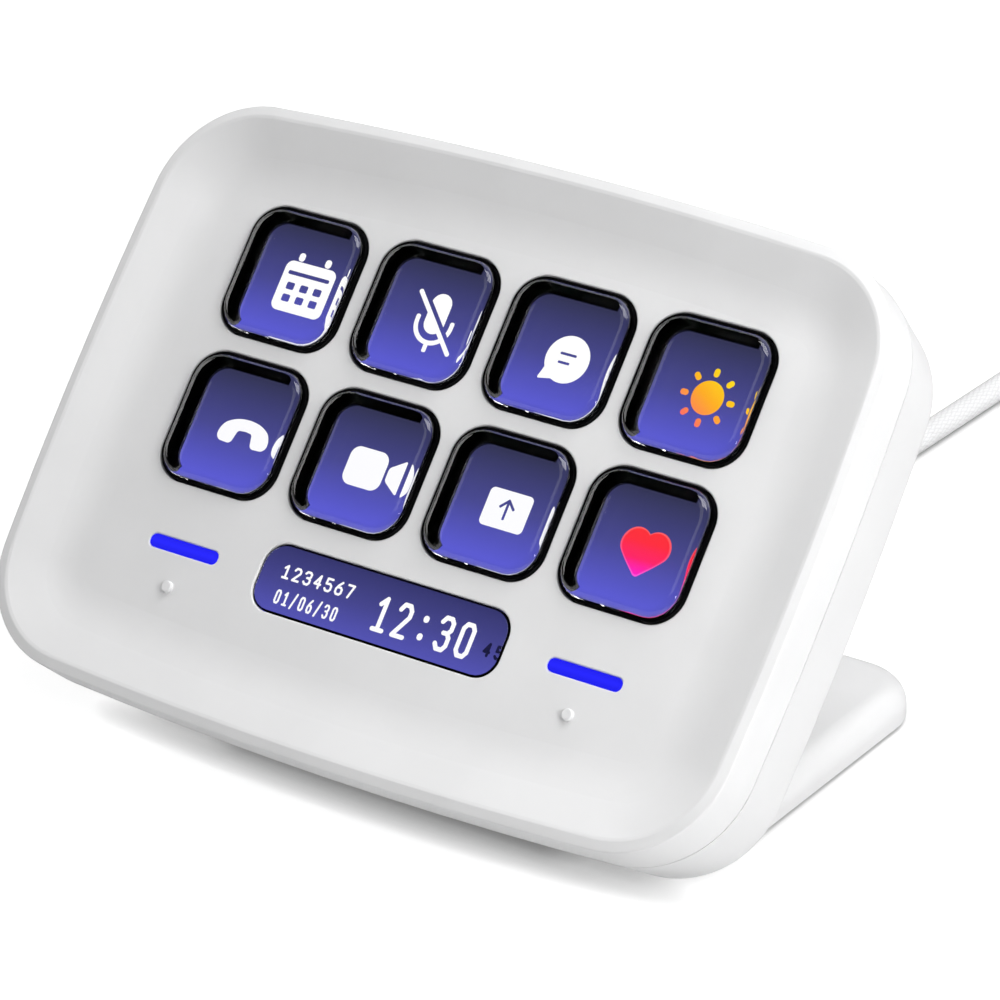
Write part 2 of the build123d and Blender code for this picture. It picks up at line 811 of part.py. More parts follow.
def plug_body():
    end_y = tail_route[-1][1]
    body = extrude(RectangleRounded(plug_width, plug_height, plug_radius), plug_length)
    body = fillet(body.faces().sort_by(Axis.Z)[0].edges(), plug_edge_radius)
    seat = extrude(SlotOverall(plug_shell_width, plug_shell_height), plug_shell_seat)
    body -= Pos(0, 0, plug_length - plug_shell_seat) * seat
    return Pos(tail_route[-1][0], end_y, plug_height / 2) * Rot(90, 0, 0) * body


def plug_shell():
    outer = SlotOverall(plug_shell_width, plug_shell_height)
    inner = SlotOverall(plug_shell_width - 2 * plug_shell_wall, plug_shell_height - 2 * plug_shell_wall)
    length = plug_shell_length + plug_shell_seat
    shell = extrude(outer, length) - Pos(0, 0, plug_shell_seat) * extrude(inner, plug_shell_length)
    start_y = tail_route[-1][1] - plug_length + plug_shell_seat
    return Pos(tail_route[-1][0], start_y, plug_height / 2) * Rot(90, 0, 0) * shell


# ---------- write the parts ----------

parts = {
    "front_cover": on_face(front_cover()),
    "rear_cover": rear_cover(),
    "stand": stand(),
    "foot_pad": foot_pad(),
    "contact_sheet": on_face(contact_sheet()),
    "lcd_panel": on_face(box(panel_width, panel_height, contact_back, panel_back, 0, key_field_y)),
    "lcd_backlight": on_face(lcd_backlight()),
    "lcd_tray": on_face(lcd_tray()),
    "lcd_flex": on_face(lcd_flex()),
    "lcd_socket": on_face(lcd_socket()),
    "infobar_lens": on_face(infobar_lens()),
    "infobar_display": on_face(infobar_display()),
    "infobar_holder": on_face(infobar_holder()),
    "light_pipe_left": on_face(light_pipe(-touch_x)),
    "light_pipe_right": on_face(light_pipe(touch_x)),
    "light_leds": many(on_face(led_chip(x)) for x in (-touch_x, touch_x)),
    "touch_electrodes": many(on_face(touch_electrode(x)) for x in (-touch_x, touch_x)),
    "touch_pins": many(on_face(touch_pin(x)) for x in (-touch_x, touch_x)),
    "main_board": on_face(main_board()),
    "board_standoffs": many(on_face(board_standoff(x, y)) for x, y in standoff_places),
    "controller_chip": on_face(
        bar(chip_size, chip_size, chip_radius, board_back, board_back + chip_height, chip_x, chip_y)
    ),
    "cable_socket": on_face(cable_socket()),
    "cable_lead": cable_lead(),
    "strain_relief": strain_relief(),
    "usb_cable": tube(cable_route, cable_diameter / 2),
    "usb_cable_tail": tube(tail_route, cable_diameter / 2),
    "usb_cable_coil": cable_coil(),
    "cable_tie": cable_tie(),
    "plug_body": plug_body(),
    "plug_shell": plug_shell(),
    "cover_screws": many(
        on_face(screw(cover_screw_head, cover_screw_head_height, cover_screw_shank, cover_screw_length,
                      cover_screw_seat, x, y))
        for x, y in cover_screw_places
    ),
    "stand_screws": many(
        on_face(screw(stand_screw_head, stand_screw_head_height, stand_screw_shank, stand_screw_length,
                      body_depth + flange_plate - stand_screw_head_height, x, y))
        for x, y in stand_screw_places
    ),
    "tray_screws": many(
        on_face(screw(small_screw_head, small_screw_head_height, small_screw_shank, small_screw_length,
                      tray_back, x, y))
        for x, y in tray_screw_places
    ),
    "board_screws": many(
        on_face(screw(small_screw_head, small_screw_head_height, small_screw_shank, small_screw_length,
                      board_back, x, y))
        for x, y in standoff_places
    ),
}
for number, (x, y) in enumerate(key_places, start=1):
    parts[f"key_cap_{number}"] = on_face(key_cap(x, y))
    parts[f"key_skirt_{number}"] = on_face(key_skirt(x, y))
    parts[f"key_pads_{number}"] = key_pads(x, y)

os.makedirs("parts", exist_ok=True)
for name, shape in parts.items():
    export_step(shape, f"parts/{name}.step")
print(f"{len(parts)} parts written")
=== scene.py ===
import json
import math
import bmesh
import bpy
from mathutils import Matrix, Vector


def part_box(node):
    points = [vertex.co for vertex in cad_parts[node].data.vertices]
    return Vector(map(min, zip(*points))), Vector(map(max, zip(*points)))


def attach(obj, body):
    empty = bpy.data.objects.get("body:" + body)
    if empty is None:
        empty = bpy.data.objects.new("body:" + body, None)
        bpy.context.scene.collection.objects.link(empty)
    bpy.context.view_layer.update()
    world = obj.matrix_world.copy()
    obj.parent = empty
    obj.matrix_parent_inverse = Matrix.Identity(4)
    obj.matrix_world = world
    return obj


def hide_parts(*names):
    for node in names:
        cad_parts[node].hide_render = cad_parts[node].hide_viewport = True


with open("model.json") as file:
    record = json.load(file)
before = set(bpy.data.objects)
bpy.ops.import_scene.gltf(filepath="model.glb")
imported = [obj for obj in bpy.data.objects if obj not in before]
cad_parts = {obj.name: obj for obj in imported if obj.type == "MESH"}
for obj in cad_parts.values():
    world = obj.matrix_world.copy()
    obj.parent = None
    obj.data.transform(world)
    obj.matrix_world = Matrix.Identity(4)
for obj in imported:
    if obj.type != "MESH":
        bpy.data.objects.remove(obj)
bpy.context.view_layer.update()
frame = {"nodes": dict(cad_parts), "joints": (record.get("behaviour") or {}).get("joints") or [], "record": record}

mm = 0.001
nodes = frame["nodes"]

# The face's own directions: INTO is the way the keys travel, RIGHT and UP lie in the face
INTO = Vector(frame["joints"][0]["axis"]).normalized()
OUT = -INTO
RIGHT = Vector((1, 0, 0))
UP = OUT.cross(RIGHT)

# Sizes of the pad, as in the part's source; a depth is measured behind the lip
panel_depth = 7.5 * mm
picture_depth = 6.8 * mm
key_field_y = 7.91 * mm
key_pitch_x = 19.68 * mm
key_pitch_y = 19.72 * mm
cap_width = 16.5 * mm
cap_height = 16.4 * mm
cap_corner = 3.73 * mm
cap_top = 1.16 * mm
cap_bottom = 5.2 * mm
cap_edge = 1.2 * mm
bar_y = -18.4 * mm
bar_width = 35.94 * mm
bar_height = 8.64 * mm
bar_corner = 2.92 * mm
bar_window_top = 2.41 * mm
bar_window_edge = 0.35 * mm
bar_window_paint = 0.034 * mm
bar_picture_depth = 3.36 * mm
cable_diameter = 3.5 * mm

# Thin printed layers of a picture, and the step from one layer to the next
ink = 0.02 * mm

panel_low, panel_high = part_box("lcd_panel")
face_centre = (panel_low + panel_high) / 2 + OUT * panel_depth - UP * key_field_y
FACE = Matrix((
    (RIGHT.x, UP.x, OUT.x, face_centre.x),
    (RIGHT.y, UP.y, OUT.y, face_centre.y),
    (RIGHT.z, UP.z, OUT.z, face_centre.z),
    (0, 0, 0, 1),
))
DESK = Matrix.Identity(4)
KEY_PLACES = [
    ((column - 1.5) * key_pitch_x, key_field_y + (0.5 - row) * key_pitch_y)
    for row in range(2)
    for column in range(4)
]


# ---------- camera, floor and lights ----------

def make_camera():
    camera_place = Vector((0.30816, -0.43973, 0.29239))
    across = Vector((0.8229, 0.3681, -0.4329))
    down = Vector((0.2431, -0.9166, -0.3173))
    ahead = Vector((-0.5136, 0.1559, -0.8437))
    turn = FACE.to_3x3()
    columns = [turn @ across, -(turn @ down), -(turn @ ahead)]
    data = bpy.data.cameras.new("camera")
    data.sensor_width = 36.0
    data.lens = 176.1
    data.clip_start = 0.01
    data.clip_end = 20.0
    camera = bpy.data.objects.new("camera", data)
    bpy.context.scene.collection.objects.link(camera)
    rotation = Matrix(columns).transposed()
    camera.matrix_world = Matrix.Translation(camera_place) @ rotation.to_4x4()
    bpy.context.scene.camera = camera


def make_floor():
    """A pale glowing table top, brighter for the camera than for the things on it, with a painted contact shadow:
    its glow and colour darken close under anything that stands on it.
    """
    mesh = bpy.data.meshes.new("floor")
    shape = bmesh.new()
    bmesh.ops.create_grid(shape, x_segments=1, y_segments=1, size=6.0)
    shape.to_mesh(mesh)
    shape.free()
    floor = bpy.data.objects.new("floor", mesh)
    bpy.context.scene.collection.objects.link(floor)
    material, shader = new_material("pale_floor", 0.7)
    tree = material.node_tree
    # Painted contact shadow: an occlusion node darkens the floor within 4 mm of anything over it
    near_things = tree.nodes.new("ShaderNodeAmbientOcclusion")
    near_things.inputs["Distance"].default_value = 4 * mm
    openness = near_things.outputs["AO"]
    seen = tree.nodes.new("ShaderNodeLightPath").outputs["Is Camera Ray"]
    glow_on_things, glow_seen = 0.20, 0.80
    glow = spread(tree, seen, 0.0, 1.0, glow_on_things, glow_seen)
    # Painted shade: the base colour is darker where things stand close over the floor
    feed(tree, shader.inputs["Base Color"], ramp(tree, openness, (0.4, 0.4, 0.4), (0.6, 0.6, 0.6)))
    feed(tree, shader.inputs["Emission Strength"], maths(tree, "MULTIPLY", glow, openness))
    shader.inputs["Specular IOR Level"].default_value = 0.0
    shader.inputs["Emission Color"].default_value = (1, 1, 1, 1)
    mesh.materials.append(material)


def soft_light(name, place, size, power):
    """A square lamp that shines at the pad's middle and isn't seen itself."""
    data = bpy.data.lights.new(name, "AREA")
    data.shape = "SQUARE"
    data.size = size
    data.energy = power
    light = bpy.data.objects.new(name, data)
    light.visible_camera = False
    bpy.context.scene.collection.objects.link(light)
    pad_middle = Vector((0, 0, 0.03))
    aim = pad_middle - Vector(place)
    light.matrix_world = Matrix.Translation(place) @ aim.to_track_quat("-Z", "Y").to_matrix().to_4x4()
    return light


def make_lights():
    """Soft lamps over a dark room that only the camera sees as white."""
    world = bpy.data.worlds.new("studio")
    bpy.context.scene.world = world
    world.use_nodes = True
    background = world.node_tree.nodes["Background"]
    seen = world.node_tree.nodes.new("ShaderNodeLightPath").outputs["Is Camera Ray"]
    world.node_tree.links.new(seen, background.inputs["Strength"])
    background.inputs["Color"].default_value = (1.0, 1.0, 1.0, 1)
    soft_light("over_light", (0.12, 0.10, 0.40), 0.25, 1.25)
    low_right = soft_light("low_right_light", (0.32, -0.12, 0.20), 0.2, 1.0)
    low_right.visible_glossy = False
    glint = soft_light("glint_light", (0.9, -0.35, 0.30), 0.12, 0.8)
    glint.visible_diffuse = False
    left = soft_light("left_light", (-1.2, -0.2, 0.6), 0.8, 5.7)
    left.visible_transmission = False
    streak = soft_light("streak_light", (-1.2, -0.2, 0.6), 0.08, 0.9)
    streak.visible_diffuse = False
    soft_light("front_light", (0.1, -0.7, 1.3), 0.8, 2.3)
    bpy.context.scene.view_settings.view_transform = "Standard"
    bpy.context.scene.view_settings.look = "None"


# ---------- nodes ----------

def new_material(name, roughness):
    material = bpy.data.materials.new(name)
    material.use_nodes = True
    shader = material.node_tree.nodes["Principled BSDF"]
    shader.inputs["Roughness"].default_value = roughness
    return material, shader


def feed(tree, socket, value):
    """Links a socket to another one, or gives it a plain value."""
    if isinstance(value, bpy.types.NodeSocket):
        tree.links.new(value, socket)
    else:
        socket.default_value = value


def place_in_object(tree):
    return tree.nodes.new("ShaderNodeTexCoord").outputs["Object"]


def maths(tree, operation, *values):
    made = tree.nodes.new("ShaderNodeMath")
    made.operation = operation
    for socket, value in zip(made.inputs, values):
        feed(tree, socket, value)
    return made.outputs[0]


def vector_maths(tree, operation, output, *values):
    made = tree.nodes.new("ShaderNodeVectorMath")
    made.operation = operation
    for socket, value in zip(made.inputs, values):
        feed(tree, socket, value)
    return made.outputs[output]


def noise(tree, place, scale, detail=2.0):
    made = tree.nodes.new("ShaderNodeTexNoise")
    feed(tree, made.inputs["Vector"], place)
    feed(tree, made.inputs["Scale"], scale)
    made.inputs["Detail"].default_value = detail
    return made.outputs[0]


def spread(tree, value, from_min, from_max, to_min=0.0, to_max=1.0):
    made = tree.nodes.new("ShaderNodeMapRange")
    feed(tree, made.inputs["Value"], value)
    limits = {"From Min": from_min, "From Max": from_max, "To Min": to_min, "To Max": to_max}
    for socket, number in limits.items():
        feed(tree, made.inputs[socket], number)
    return made.outputs["Result"]


def ramp(tree, value, *colours):
    """Colours spaced evenly from value 0 to value 1."""
    made = tree.nodes.new("ShaderNodeValToRGB")
    stops = made.color_ramp.elements
    while len(stops) < len(colours):
        stops.new(0.5)
    for number, (stop, colour) in enumerate(zip(stops, colours)):
        stop.position = number / (len(colours) - 1)
        stop.color = (*colour, 1)
    feed(tree, made.inputs["Fac"], value)
    return made.outputs["Color"]


def bump(tree, shader, height, strength, distance):
    made = tree.nodes.new("ShaderNodeBump")
    made.inputs["Strength"].default_value = strength
    made.inputs["Distance"].default_value = distance
    feed(tree, made.inputs["Height"], height)
    tree.links.new(made.outputs["Normal"], shader.inputs["Normal"])


# ---------- shared effects, as node groups ----------

def effect_group(name, inputs, outputs):
    """A shader node group whose inputs are sizes in millimetres or shares, and whose outputs are masks."""
    tree = bpy.data.node_groups.new(name, "ShaderNodeTree")
    for socket, value in inputs.items():
        item = tree.interface.new_socket(socket, in_out="INPUT", socket_type="NodeSocketFloat")
        item.default_value = value
    for socket in outputs:
        tree.interface.new_socket(socket, in_out="OUTPUT", socket_type="NodeSocketFloat")
    return tree, tree.nodes.new("NodeGroupInput").outputs, tree.nodes.new("NodeGroupOutput").inputs


def make_grain_group():
    """Moulded grain: a fine even texture and a broad uneven tone."""
    tree, given, result = effect_group("moulded_grain", {"Grain": 0.2, "Patch": 12.0}, ("Grain", "Patch"))
    place = place_in_object(tree)
    tree.links.new(noise(tree, place, maths(tree, "DIVIDE", 1000.0, given["Grain"])), result["Grain"])
    broad = noise(tree, place, maths(tree, "DIVIDE", 1000.0, given["Patch"]), 3.0)
    tree.links.new(spread(tree, broad, 0.3, 0.7), result["Patch"])
    return tree


def make_brushed_group():
    """Brushed or rolled metal: long streaks along X, and a broad tarnish."""
    tree, given, result = effect_group("brushed", {"Streak": 0.08, "Length": 6.0}, ("Streaks", "Tarnish"))
    stretch = tree.nodes.new("ShaderNodeCombineXYZ")
    feed(tree, stretch.inputs["X"], maths(tree, "DIVIDE", 1000.0, given["Length"]))
    across = maths(tree, "DIVIDE", 1000.0, given["Streak"])
    feed(tree, stretch.inputs["Y"], across)
    feed(tree, stretch.inputs["Z"], across)
    place = place_in_object(tree)
    along = vector_maths(tree, "MULTIPLY", "Vector", place, stretch.outputs[0])
    tree.links.new(noise(tree, along, 1.0), result["Streaks"])
    tree.links.new(noise(tree, place, 150.0, 3.0), result["Tarnish"])
    return tree


def make_weave_group():
    """Plaited strands on a surface with its own map: a height for each strand, and loose fibres."""
    tree, given, result = effect_group("weave", {"Along": 100.0, "Around": 8.0}, ("Strand", "Fibre"))
    place = tree.nodes.new("ShaderNodeTexCoord").outputs["UV"]
    split = tree.nodes.new("ShaderNodeSeparateXYZ")
    tree.links.new(place, split.inputs[0])
    along = maths(tree, "MULTIPLY", split.outputs["X"], given["Along"])
    around = maths(tree, "MULTIPLY", split.outputs["Y"], given["Around"])
    one = maths(tree, "ADD", along, around)
    other = maths(tree, "SUBTRACT", along, around)
    checks = maths(tree, "ADD", maths(tree, "FLOOR", one), maths(tree, "FLOOR", other))
    over = maths(tree, "FLOORED_MODULO", checks, 2.0)
    crowns = [
        maths(tree, "SINE", maths(tree, "MULTIPLY", maths(tree, "FRACT", side), math.pi))
        for side in (one, other)
    ]
    first = maths(tree, "MULTIPLY", crowns[0], over)
    second = maths(tree, "MULTIPLY", crowns[1], maths(tree, "SUBTRACT", 1.0, over))
    tree.links.new(maths(tree, "ADD", first, second), result["Strand"])
    tree.links.new(noise(tree, place_in_object(tree), 9000.0), result["Fibre"])
    return tree


def make_tracks_group():
    """Copper tracks under a board's coating: stepped lines with gaps between them."""
    tree, given, result = effect_group("tracks", {"Pitch": 1.2}, ("Track", "Pad"))
    scale = maths(tree, "DIVIDE", 1000.0, given["Pitch"])
    place = place_in_object(tree)
    cells = tree.nodes.new("ShaderNodeTexVoronoi")
    cells.distance = "CHEBYCHEV"
    cells.feature = "F1"
    feed(tree, cells.inputs["Vector"], place)
    feed(tree, cells.inputs["Scale"], scale)
    rings = maths(tree, "FRACT", maths(tree, "MULTIPLY", cells.outputs["Distance"], 4.0))
    tree.links.new(maths(tree, "LESS_THAN", rings, 0.45), result["Track"])
    tree.links.new(maths(tree, "LESS_THAN", cells.outputs["Distance"], 0.12), result["Pad"])
    return tree


def use_group(tree, group, **values):
    made = tree.nodes.new("ShaderNodeGroup")
    made.node_tree = group
    for socket, value in values.items():
        made.inputs[socket].default_value = value
    return made.outputs


# ---------- materials ----------

def moulded(name, dark, light, rough_low, rough_high, grain=0.2, patch=12.0, relief=0.1):
    """Moulded plastic or rubber with a fine grain and an uneven tone and gloss."""
    material, shader = new_material(name, rough_high)
    tree = material.node_tree
    surface = use_group(tree, GROUPS["grain"], Grain=grain, Patch=patch)
    rough = spread(tree, surface["Patch"], 0.0, 1.0, rough_low, rough_high)
    feed(tree, shader.inputs["Base Color"], ramp(tree, surface["Patch"], dark, light))
    feed(tree, shader.inputs["Roughness"], rough)
    bump(tree, shader, surface["Grain"], relief, 0.02 * mm)
    return material


def metal(name, dark, light, streak=0.08, length=6.0):
    material, shader = new_material(name, 0.35)
    tree = material.node_tree
    surface = use_group(tree, GROUPS["brushed"], Streak=streak, Length=length)
    feed(tree, shader.inputs["Base Color"], ramp(tree, surface["Tarnish"], dark, light))
    feed(tree, shader.inputs["Roughness"], spread(tree, surface["Streaks"], 0.3, 0.7, 0.22, 0.42))
    shader.inputs["Metallic"].default_value = 1.0
    bump(tree, shader, surface["Streaks"], 0.15, 0.01 * mm)
    return material


def clear(name, rough):
    """Clear plastic with faint smears."""
    material, shader = new_material(name, rough)
    tree = material.node_tree
    surface = use_group(tree, GROUPS["grain"], Grain=1.5, Patch=5.0)
    feed(tree, shader.inputs["Base Color"], ramp(tree, surface["Patch"], (0.985, 0.985, 0.99), (1, 1, 1)))
    feed(tree, shader.inputs["Roughness"], spread(tree, surface["Patch"], 0.55, 1.0, 0.0, rough))
    shader.inputs["Transmission Weight"].default_value = 1.0
    shader.inputs["IOR"].default_value = 1.49
    return material


def lit_layer(name, strength, gloss=0.3):
    """A dark layer that gives light; the light's colour is left to link in."""
    material, shader = new_material(name, gloss)
    shader.inputs["Emission Strength"].default_value = strength
    shader.inputs["Base Color"].default_value = (0.004, 0.004, 0.006, 1)
    shader.inputs["Specular IOR Level"].default_value = 0.1
    return material, shader


def along_axis(tree, axis):
    """How far a place lies along a direction."""
    return vector_maths(tree, "DOT_PRODUCT", "Value", place_in_object(tree), tuple(axis))


def glowing(name, colours, low, high, strength, axis=UP, gloss=0.3):
    """A lit layer whose colours change along an axis of the face, between two places on it."""
    material, shader = lit_layer(name, strength, gloss)
    tree = material.node_tree
    shimmer = use_group(tree, GROUPS["grain"], Grain=0.1, Patch=2.0)
    share = spread(tree, along_axis(tree, axis), low, high)
    share = maths(tree, "ADD", share, maths(tree, "MULTIPLY", shimmer["Patch"], 0.01))
    tree.links.new(ramp(tree, share, *colours), shader.inputs["Emission Color"])
    return material


screen_strength = 1.08
white_strength = 1.1
WHITE_COLOURS = ((0.97, 0.97, 1.0), (1.0, 1.0, 1.0))
SCREEN_COLOURS = ((0.114, 0.114, 0.700), (0.0670, 0.0680, 0.285), (0.0350, 0.0370, 0.088))


def key_picture():
    """The lit picture behind the keys: bright blue-violet below and dark above, in each row of keys."""
    material, shader = lit_layer("key_picture", screen_strength)
    tree = material.node_tree
    field_low = face_centre.dot(UP) + key_field_y - key_pitch_y
    in_row = maths(tree, "WRAP", along_axis(tree, UP), field_low + key_pitch_y, field_low)
    middle = field_low + key_pitch_y / 2
    half_window = 7.2 * mm
    share = spread(tree, in_row, middle - half_window, middle + half_window)
    tree.links.new(ramp(tree, share, *SCREEN_COLOURS), shader.inputs["Emission Color"])
    return material


def bar_picture():
    middle = face_centre.dot(UP) + bar_y
    half = 4.3 * mm
    colours = ((0.092, 0.092, 0.47), (0.062, 0.062, 0.27), (0.038, 0.039, 0.155))
    return glowing("bar_picture", colours, middle - half, middle + half, screen_strength)


def braid(name, dark, light, along, around):
    """Plaited cable sleeve on the cable's own map, with painted shade in the dips between strands."""
    material, shader = new_material(name, 0.7)
    tree = material.node_tree
    surface = use_group(tree, GROUPS["weave"], Along=along, Around=around)
    # Painted shade: the colour darkens towards each strand's edges, where the strands dip; the fibre noise adds a
    # random tone
    tone = maths(tree, "ADD", maths(tree, "MULTIPLY", surface["Strand"], 0.8),
                 maths(tree, "MULTIPLY", surface["Fibre"], 0.2))
    feed(tree, shader.inputs["Base Color"], ramp(tree, tone, dark, light))
    feed(tree, shader.inputs["Roughness"], spread(tree, surface["Fibre"], 0.3, 0.7, 0.6, 0.85))
    bump(tree, shader, tone, 0.4, 0.08 * mm)
    return material


def circuit_board():
    material, shader = new_material("board_green", 0.3)
    tree = material.node_tree
    surface = use_group(tree, GROUPS["tracks"], Pitch=2.2)
    tone = maths(tree, "ADD", maths(tree, "MULTIPLY", surface["Track"], 0.5),
                 maths(tree, "MULTIPLY", surface["Pad"], 0.5))
    colour = ramp(tree, tone, (0.004, 0.05, 0.02), (0.01, 0.12, 0.045), (0.6, 0.5, 0.25))
    feed(tree, shader.inputs["Base Color"], colour)
    feed(tree, shader.inputs["Roughness"], spread(tree, surface["Pad"], 0.0, 1.0, 0.28, 0.45))
    bump(tree, shader, surface["Track"], 0.2, 0.03 * mm)
    return material


def light_bar():
    """The light guides: deep blue light, a little stronger in the middle."""
    blue = ((0.008, 0.008, 0.82), (0.016, 0.016, 1.0), (0.008, 0.008, 0.82))
    middle = face_centre.dot(UP) + bar_y
    half = 1.0 * mm
    return glowing("light_bar", blue, middle - half, middle + half, 1.0, gloss=0.4)


def make_looks():
    paint = moulded("black_paint", (0.001, 0.001, 0.001), (0.002, 0.002, 0.002), 0.7, 0.9)
    paint.node_tree.nodes["Principled BSDF"].inputs["Specular IOR Level"].default_value = 0.0
    looks = {
        "white_shell": moulded("white_plastic", (0.765, 0.765, 0.77), (0.795, 0.795, 0.80), 0.42, 0.55),
        "black_skirt": moulded("black_gloss", (0.001, 0.001, 0.0012), (0.002, 0.002, 0.0022), 0.10, 0.20,
                               grain=0.6, patch=4.0, relief=0.02),
        "black_paint": paint,
        "clear_cap": clear("clear_cap", 0.012),
        "lens_clear": clear("bar_window", 0.02),
        "light_guide": clear("light_guide", 0.2),
        "dark_rubber": moulded("dark_rubber", (0.02, 0.02, 0.021), (0.035, 0.035, 0.036), 0.75, 0.9,
                               grain=0.35, relief=0.5),
        "contact_film": moulded("contact_film", (0.30, 0.20, 0.05), (0.38, 0.26, 0.07), 0.25, 0.4),
        "display_glass": key_picture(),
        "bar_picture": bar_picture(),
        "steel": metal("steel", (0.42, 0.42, 0.44), (0.58, 0.58, 0.6)),
        "screw_steel": metal("screw_steel", (0.12, 0.12, 0.125), (0.2, 0.2, 0.21), streak=0.05, length=0.4),
        "flex_film": moulded("flex_film", (0.42, 0.18, 0.03), (0.5, 0.24, 0.05), 0.25, 0.4),
        "black_plastic": moulded("black_plastic", (0.012, 0.012, 0.013), (0.02, 0.02, 0.021), 0.45, 0.65),
        "diffuser": light_bar(),
        "led_white": moulded("led_white", (0.78, 0.76, 0.6), (0.85, 0.83, 0.7), 0.3, 0.5),
        "contact_metal": metal("contact_gold", (0.65, 0.45, 0.15), (0.8, 0.6, 0.25), length=2.0),
        "board_green": circuit_board(),
        "cable_braid": braid("cable_braid", (0.70, 0.70, 0.71), (0.88, 0.88, 0.885), 2200.0, 16.0),
        "cable_jacket": moulded("cable_jacket", (0.55, 0.55, 0.56), (0.62, 0.62, 0.63), 0.5, 0.65),
        "relief_rubber": moulded("relief_rubber", (0.66, 0.66, 0.665), (0.72, 0.72, 0.725), 0.55, 0.7,
                                 grain=0.3, relief=0.2),
        "tie_strap": moulded("tie_strap", (0.02, 0.02, 0.022), (0.05, 0.05, 0.052), 0.85, 0.95,
                             grain=0.5, patch=1.5, relief=1.0),
        "plug_plastic": moulded("plug_plastic", (0.7, 0.7, 0.705), (0.76, 0.76, 0.765), 0.4, 0.55),
        "plug_steel": metal("plug_steel", (0.5, 0.5, 0.5), (0.65, 0.65, 0.65), streak=0.05),
    }
    for part in frame["record"]["subparts"]:
        mesh = nodes[part["node"]].data
        mesh.materials.clear()
        look = "bar_picture" if part["node"] == "infobar_display" else part["material_slot"]
        mesh.materials.append(looks[look])
    return looks


# ---------- the cable ----------

coil_centre = Vector((28.05, 140.5, 0)) * mm
relief_low, relief_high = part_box("strain_relief")
cable_exit = Vector((0, relief_high.y, (relief_low.z + relief_high.z) / 2))
lead_out = [
    (0.0, 22.5, 11.2), (0.7, 42.5, 10.4), (1.4, 58.5, 5.6), (2.0, 72.5, 1.75),
    (2.9, 92.5, 1.75), (3.6, 114.5, 1.75), (4.1, 134.5, 1.75),
]
plug_lead = [(51.5, 134.5, 10.4), (51.8, 122.5, 8.4), (52.0, 108.5, 3.1), (52.0, 98.5, 3.1)]


def coil_points():
    """The put-away turns: layers of three and two, a diameter apart, leaving half a turn on."""
    steps = 16
    pitch = cable_diameter
    layer = 0.87 * cable_diameter
    middle = 20.45 * mm
    wide = [middle + pitch, middle, middle - pitch]
    narrow = [middle - pitch / 2, middle + pitch / 2]
    turns = []
    for number, radii in enumerate((wide, narrow, wide, narrow)):
        turns += [(radius, pitch / 2 + number * layer) for radius in radii]
    last_radius = 23.45 * mm
    last_height = 10.4 * mm
    turns.append((last_radius, last_height))
    swell = 2 / (1 + math.cos(math.pi / steps))
    points = []
    for (radius, height), (next_radius, next_height) in zip(turns, turns[1:]):
        for step in range(steps):
            share = step / steps
            climb = min(max((share - 0.5) / 0.25, 0), 1)
            shift = min(max((share - 0.75) / 0.25, 0), 1)
            r = (radius + (next_radius - radius) * shift) * swell
            z = height + (next_height - height) * climb
            angle = math.pi - 2 * math.pi * share
            points.append(coil_centre + Vector((r * math.cos(angle), r * math.sin(angle), z)))
    for step in range(steps // 2):
        angle = math.pi - 2 * math.pi * step / steps
        points.append(coil_centre + Vector((
            last_radius * swell * math.cos(angle), last_radius * swell * math.sin(angle), last_height)))
    return points


def cable_route():
    """The cable's centreline as one smooth curve."""
    points = [cable_exit] + [Vector(p) * mm for p in lead_out] + coil_points()
    points += [Vector(p) * mm for p in plug_lead]
    curve = bpy.data.curves.new("cable_route", "CURVE")
    curve.dimensions = "3D"
    spline = curve.splines.new("NURBS")
    spline.points.add(len(points) - 1)
    for spot, point in zip(spline.points, points):
        spot.co = (*point, 1)
    spline.order_u = 3
    spline.use_endpoint_u = True
    curve.resolution_u = 6
    return curve


def curve_mesh(curve):
    """The mesh that a curve makes, without leaving its object behind."""
    holder = bpy.data.objects.new("route_holder", curve)
    mesh = bpy.data.meshes.new_from_object(holder)
    bpy.data.objects.remove(holder)
    return mesh


def make_cable(sleeve):
    curve = cable_route()
    path = [vert.co.copy() for vert in curve_mesh(curve).vertices]
    curve.bevel_depth = cable_diameter / 2
    curve.bevel_resolution = 5
    curve.use_fill_caps = True
    mesh = curve_mesh(curve)
    mesh.name = "cable"
    mesh.shade_smooth()
    mesh.materials.clear()
    mesh.materials.append(sleeve)
    cable = bpy.data.objects.new("cable", mesh)
    bpy.context.scene.collection.objects.link(cable)
    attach(cable, "housing")
    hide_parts("usb_cable", "usb_cable_tail", "usb_cable_coil")


# ---------- shapes ----------

def finish_piece(name, shape, materials, body, place=FACE):
    """Puts a drawn shape in its place, and lets it ride on a body."""
    mesh = bpy.data.meshes.new(name)
    bmesh.ops.recalc_face_normals(shape, faces=shape.faces)
    shape.to_mesh(mesh)
    shape.free()
    mesh.transform(place)
    for material in materials:
        mesh.materials.append(material)
    mesh.shade_smooth()
    mesh.set_sharp_from_angle(angle=math.radians(35))
    piece = bpy.data.objects.new(name, mesh)
    bpy.context.scene.collection.objects.link(piece)
    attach(piece, body)
    return piece


def thicken(shape, faces, near, far):
    """Turns faces drawn at a depth of far into closed blocks that reach to a depth of near."""
    made = bmesh.ops.extrude_face_region(shape, geom=faces)
    raised = [part for part in made["geom"] if isinstance(part, bmesh.types.BMVert)]
    bmesh.ops.translate(shape, verts=raised, vec=(0, 0, far - near))


